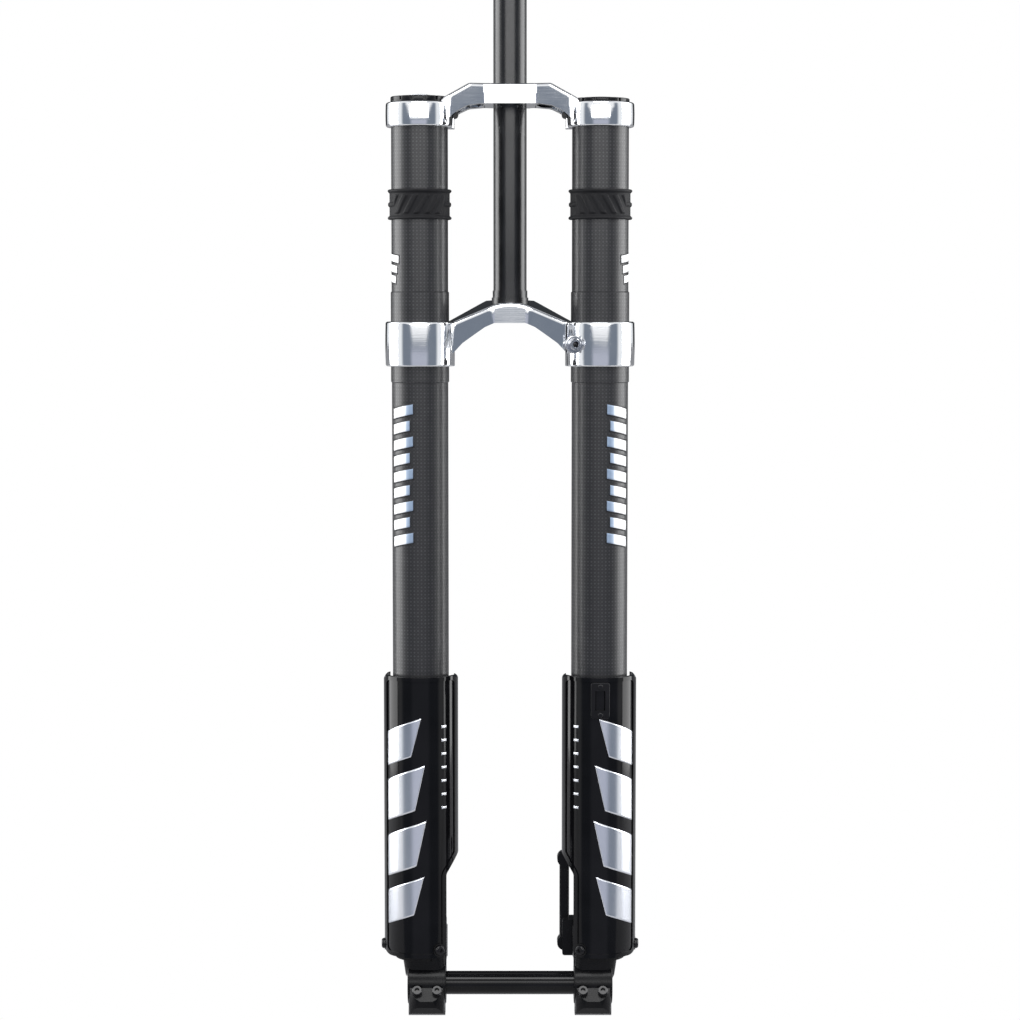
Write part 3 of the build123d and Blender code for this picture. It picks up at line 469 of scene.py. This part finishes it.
def bumper_radius(turn, t):
    """Outer radius in millimetres at a turn in degrees and a height of 0 to 1."""
    bead = max(smooth_step(t, 0.14, 0.06), smooth_step(t, 0.86, 0.94))
    belt = smooth_step(abs(t - 0.5), 0.09, 0.04) * smooth_step(abs(turn), 52, 62)
    rib_phase = (turn / 21.0 + 1.5 * t) % 1.0
    rib = smooth_step(abs(rib_phase - 0.5), 0.30, 0.18)
    window = smooth_step(abs(turn), 58, 50) * smooth_step(abs(t - 0.5), 0.33, 0.28)
    return 25.5 + 1.5 * bead + 1.2 * belt + 1.1 * rib * window


BUMPER_RINGS = 60
BUMPER_SPOKES = 240
BUMPER_ROUNDING = 0.9  # millimetres


def make_bumper(leg, side):
    """Rubber bumper with a bead at each edge, slanted ribs in front and a belt behind."""
    rings, spokes = BUMPER_RINGS, BUMPER_SPOKES
    low, high = bumper_low.z, bumper_high.z
    points = []
    for i in range(rings + 1):
        t = i / rings
        edge = min(t, 1 - t) * (high - low) / MM
        soft = BUMPER_ROUNDING * (1 - min(1.0, edge / BUMPER_ROUNDING)) ** 2
        for j in range(spokes):
            turn = 360 * j / spokes - 180
            points.append(on_leg(side, (bumper_radius(turn, t) - soft) * MM, turn, low + (high - low) * t))
    for z in (high, low):
        for j in range(spokes):
            points.append(on_leg(side, BUMPER_BORE_R, 360 * j / spokes - 180, z))
    faces = []
    layers = rings + 3
    for i in range(layers):
        for j in range(spokes):
            k = (j + 1) % spokes
            a, b = i * spokes, ((i + 1) % layers) * spokes
            faces.append((a + j, a + k, b + k, b + j))
    if side < 0:
        faces = [face[::-1] for face in faces]
    look = "bumper_rubber"
    piece = mesh_piece(f"{leg}_bumper_ribbed", points, faces, MATERIALS[look], "upper_legs")
    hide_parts(f"bumper_{leg}")


# ---- prints and foils -----------------------------------------------------------------------------
LOOKS = {
    "bar_ink_painted_reflection": bar_ink_painted_reflection(),
    "black_ink": black_ink(),
    "silver_foil": silver_foil(),
}
# Heights and thicknesses are in metres, and edges in degrees from a leg's front.
BAR_TOP = -92.0 * MM
BAR_PITCH = 13.6 * MM
BAR_HEIGHT = 8.4 * MM
BAR_COUNT = 9
BAR_FRONT = 13.0
BAR_BACK = 66.0
BAR_SHORTER = 7.0  # every second bar starts this much further back
BAR_SLANT = -0.085 * MM
BAR_OUTLINE = 1.1 * MM
DEGREES = 57.3  # in a radian
BADGE_COUNT = 3
BADGE_TOP = 36.0 * MM
BADGE_PITCH = 8.6 * MM
BADGE_HEIGHT = 6.0 * MM
BADGE_FRONT = 46.0
BADGE_STEP = 5.0
BADGE_BACK = 84.0
BADGE_SLANT = 0.06 * MM
# Foil bands on a guard: (middle height in mm, height in mm, front edge in degrees).
FOIL_BANDS = [(-382.0, 30.0, -2.0), (-426.0, 36.0, -8.0), (-474.0, 36.0, -10.0), (-519.0, 30.0, -6.0)]
FOIL_BACK = 101.0
FOIL_LEAN = 16.0  # how much further back a band starts at its foot than at its top
FOIL_SLANT = -0.20 * MM
DASH_TOP = -363.0 * MM
DASH_PITCH = 11.6 * MM
DASH_COUNT = 7
DASH_HEIGHT = 2.2 * MM
DASH_FRONT = -46.0
DASH_BACK = -36.0


def make_prints(leg, side):
    """Slanted bars and a badge of three ticks on the outer tube, and foil bands and dashes on the guard."""
    outline = BAR_OUTLINE
    grow = outline / TUBE_R * DEGREES
    for i in range(BAR_COUNT):
        top = BAR_TOP - i * BAR_PITCH
        short = BAR_SHORTER if i % 2 else 0.0
        patch(f"{leg}_bar_{i}_edge", side, TUBE_R,
              lambda t: BAR_FRONT + short - grow, lambda t: BAR_BACK + grow,
              top - BAR_HEIGHT - outline, top + outline, "black_ink", "upper_legs", BAR_SLANT, 0.06, 6, 24)
        # Ink bar whose colour is a painted reflection.
        patch(f"{leg}_bar_{i}", side, TUBE_R, lambda t: BAR_FRONT + short, lambda t: BAR_BACK,
              top - BAR_HEIGHT, top, "bar_ink_painted_reflection", "upper_legs", BAR_SLANT, 0.12, 6, 24)
    for i in range(BADGE_COUNT):
        top = BADGE_TOP - i * BADGE_PITCH
        start = BADGE_FRONT + BADGE_STEP * i
        patch(f"{leg}_badge_{i}_edge", side, TUBE_R, lambda t: start - grow, lambda t: BADGE_BACK + grow,
              top - BADGE_HEIGHT - outline, top + outline, "black_ink", "upper_legs", BADGE_SLANT, 0.06, 6, 16)
        # Badge tick in ink whose colour is a painted reflection.
        patch(f"{leg}_badge_{i}", side, TUBE_R, lambda t: start, lambda t: BADGE_BACK,
              top - BADGE_HEIGHT, top, "bar_ink_painted_reflection", "upper_legs", BADGE_SLANT, 0.12, 6, 16)
    for i, (middle, height, front) in enumerate(FOIL_BANDS):
        foot, top = (middle - height / 2) * MM, (middle + height / 2) * MM
        patch(f"{leg}_foil_{i}", side, GUARD_R, lambda t: front + FOIL_LEAN * (1 - t), lambda t: FOIL_BACK,
              foot, top, "silver_foil", "lower_legs", FOIL_SLANT, 0.1, 24, 40)
    for i in range(DASH_COUNT):
        top = DASH_TOP - i * DASH_PITCH
        patch(f"{leg}_dash_{i}", side, GUARD_R, lambda t: DASH_FRONT, lambda t: DASH_BACK,
              top - DASH_HEIGHT, top, "silver_foil", "lower_legs", 0.0, 0.08, 4, 8)


make_camera()
dress_frame()
turned_piece("crown_bolt_flange", FLANGE_PROFILE, MATERIALS["bolt_chrome"])
# The black plug in the hex socket is painted shade.
turned_piece("crown_bolt_socket_shade", SOCKET_SHADE_PROFILE, MATERIALS["bolt_black"])
for leg_name, leg_side in LEGS.items():
    make_bumper(leg_name, leg_side)
    make_prints(leg_name, leg_side)


# ---- studio ---------------------------------------------------------------------------------------
# Zones of the studio, as (start, end) of a soft edge in degrees: turn from straight ahead, and rise.
CORNER_TURN = (54, 66)
REAR_TURN = (134, 146)
BROW_RISE = (-1.5, 1.5)
BROW_SLOPE = 2.3  # degrees that the brow's edge turns outwards for each degree of rise
BROW_START = 23.0
BROW_LIMIT = 46.0
BROW_SOFTNESS = (-6, 6)
AHEAD_TURN = (20, 34)
AHEAD_RISE = (-3, -0.8)
ZENITH_RISE = (55, 75)
REAR_HIGH_TURN = (130, 145)
REAR_HIGH_RISE = (50, 65)
UPPER_RISE = (14, 24)
GROUND_RISE = (-40, -24)


def make_world():
    """Studio round the fork, seen only in reflections; the camera itself sees plain white.

    White at the sides and above, darker in the front corners and behind, with a white brow ahead above eye
    level and a pale column below it.
    """
    world = bpy.data.worlds.new("studio")
    world.use_nodes = True
    bpy.context.scene.world = world
    tree = world.node_tree
    tree.nodes.clear()
    new, link = tree.nodes.new, tree.links.new

    def feed(value, socket):
        if isinstance(value, (int, float, tuple)):
            socket.default_value = value
        else:
            link(value, socket)

    def calc(operation, a, b=0.0):
        node = new("ShaderNodeMath")
        node.operation = operation
        feed(a, node.inputs[0])
        feed(b, node.inputs[1])
        return node.outputs[0]

    def between(value, edge):
        """0 below the edge's start, 1 above its end."""
        node = new("ShaderNodeMapRange")
        node.interpolation_type = "SMOOTHSTEP"
        feed(value, node.inputs[0])
        node.inputs[1].default_value, node.inputs[2].default_value = edge
        return node.outputs[0]

    def below(value, edge):
        return calc("SUBTRACT", 1.0, between(value, edge))

    def blend(share, first, second):
        node = new("ShaderNodeMix")
        node.data_type = "RGBA"
        feed(share, node.inputs[0])
        feed(first, node.inputs[6])
        feed(second, node.inputs[7])
        return node.outputs[2]

    split = new("ShaderNodeSeparateXYZ")
    link(new("ShaderNodeTexCoord").outputs["Generated"], split.inputs[0])
    x, y, z = split.outputs
    turn = calc("MULTIPLY", calc("ABSOLUTE", calc("ARCTAN2", x, calc("MULTIPLY", y, -1.0))), 180 / pi)
    rise = calc("MULTIPLY", calc("ARCSINE", z), 180 / pi)
    sides = blend(between(turn, CORNER_TURN), CORNER_TONE, WALL_TONE)
    sides = blend(between(turn, REAR_TURN), sides, REAR_TONE)
    brow_edge = calc("MINIMUM", calc("ADD", calc("MULTIPLY", rise, BROW_SLOPE), BROW_START), BROW_LIMIT)
    inside_brow = below(calc("SUBTRACT", turn, brow_edge), BROW_SOFTNESS)
    sides = blend(calc("MULTIPLY", inside_brow, between(rise, BROW_RISE)), sides, BROW_TONE)
    ahead = calc("MULTIPLY", below(turn, AHEAD_TURN), below(rise, AHEAD_RISE))
    sides = blend(ahead, sides, AHEAD_TONE)
    upper = blend(between(rise, ZENITH_RISE), CEILING_TONE, ZENITH_TONE)
    rear_high = calc("MULTIPLY", between(turn, REAR_HIGH_TURN), below(rise, REAR_HIGH_RISE))
    upper = blend(rear_high, upper, REAR_TONE)
    colour = blend(between(rise, UPPER_RISE), sides, upper)
    colour = blend(below(rise, GROUND_RISE), colour, GROUND_TONE)
    studio = new("ShaderNodeBackground")
    link(colour, studio.inputs["Color"])
    white = new("ShaderNodeBackground")
    white.inputs["Color"].default_value = (1, 1, 1, 1)
    mix = new("ShaderNodeMixShader")
    link(new("ShaderNodeLightPath").outputs["Is Camera Ray"], mix.inputs[0])
    link(studio.outputs[0], mix.inputs[1])
    link(white.outputs[0], mix.inputs[2])
    out = new("ShaderNodeOutputWorld")
    link(mix.outputs[0], out.inputs[0])


CORNER_TONE = (0.19, 0.22, 0.27, 1)
WALL_TONE = (0.92, 0.94, 0.96, 1)
REAR_TONE = (0.035, 0.038, 0.042, 1)
BROW_TONE = (0.97, 0.975, 0.99, 1)
AHEAD_TONE = (0.46, 0.48, 0.57, 1)
CEILING_TONE = (0.95, 0.96, 0.98, 1)
ZENITH_TONE = (0.25, 0.26, 0.28, 1)
GROUND_TONE = (0.30, 0.31, 0.33, 1)


def soft_light(name, place, aim, width, height, power):
    """Rectangular soft box."""
    data = bpy.data.lights.new(name, "AREA")
    data.shape = "RECTANGLE"
    data.size = width
    data.size_y = height
    data.energy = power
    light = bpy.data.objects.new(name, data)
    light.location = place
    light.rotation_mode = "QUATERNION"
    light.rotation_quaternion = (Vector(aim) - Vector(place)).to_track_quat("-Z", "Y")
    bpy.context.scene.collection.objects.link(light)


FLOOR_REACH = 40.0
FLOOR_FRONT = -1.0
FLOOR_DROP = 0.35


def make_floor():
    """Plain pale floor, well below the hanging fork."""
    reach = FLOOR_REACH
    front = FLOOR_FRONT
    level = cad_low.z - FLOOR_DROP
    mesh = bpy.data.meshes.new("floor")
    mesh.from_pydata(
        [(-reach, front, level), (reach, front, level), (reach, reach, level), (-reach, reach, level)],
        [], [(0, 1, 2, 3)],
    )
    floor = bpy.data.objects.new("floor", mesh)
    bpy.context.scene.collection.objects.link(floor)
    g = Graph("floor_pale")
    g.set(Base_Color=(0.42, 0.42, 0.43, 1), Roughness=0.9)
    g.shader.inputs["Specular IOR Level"].default_value = 0.0
    paper = g.add("ShaderNodeEmission")
    mix = g.add("ShaderNodeMixShader")
    g.link(g.add("ShaderNodeLightPath").outputs["Is Camera Ray"], mix.inputs[0])
    g.link(g.shader.outputs[0], mix.inputs[1])
    g.link(paper.outputs[0], mix.inputs[2])
    g.link(mix.outputs[0], g.tree.nodes["Material Output"].inputs[0])
    mesh.materials.append(g.material)


# Soft boxes: name, place, aim, width, height and power in watts.
LIGHTS = [
    ("side_left", (-3.0, 0.4, 0.1), (0, 0, -0.2), 2.2, 3.4, 115),
    ("side_right", (3.0, 0.4, 0.1), (0, 0, -0.2), 2.2, 3.4, 115),
    ("top_front", (0, -2.2, 2.8), (0, 0, -0.1), 2.6, 1.2, 60),
    ("brow", (0, -3.2, 0.60), (0, 0, 0.1), 4.0, 0.7, 30),
]

make_world()
make_floor()
for light in LIGHTS:
    soft_light(*light)
bpy.context.scene.view_settings.view_transform = "Standard"
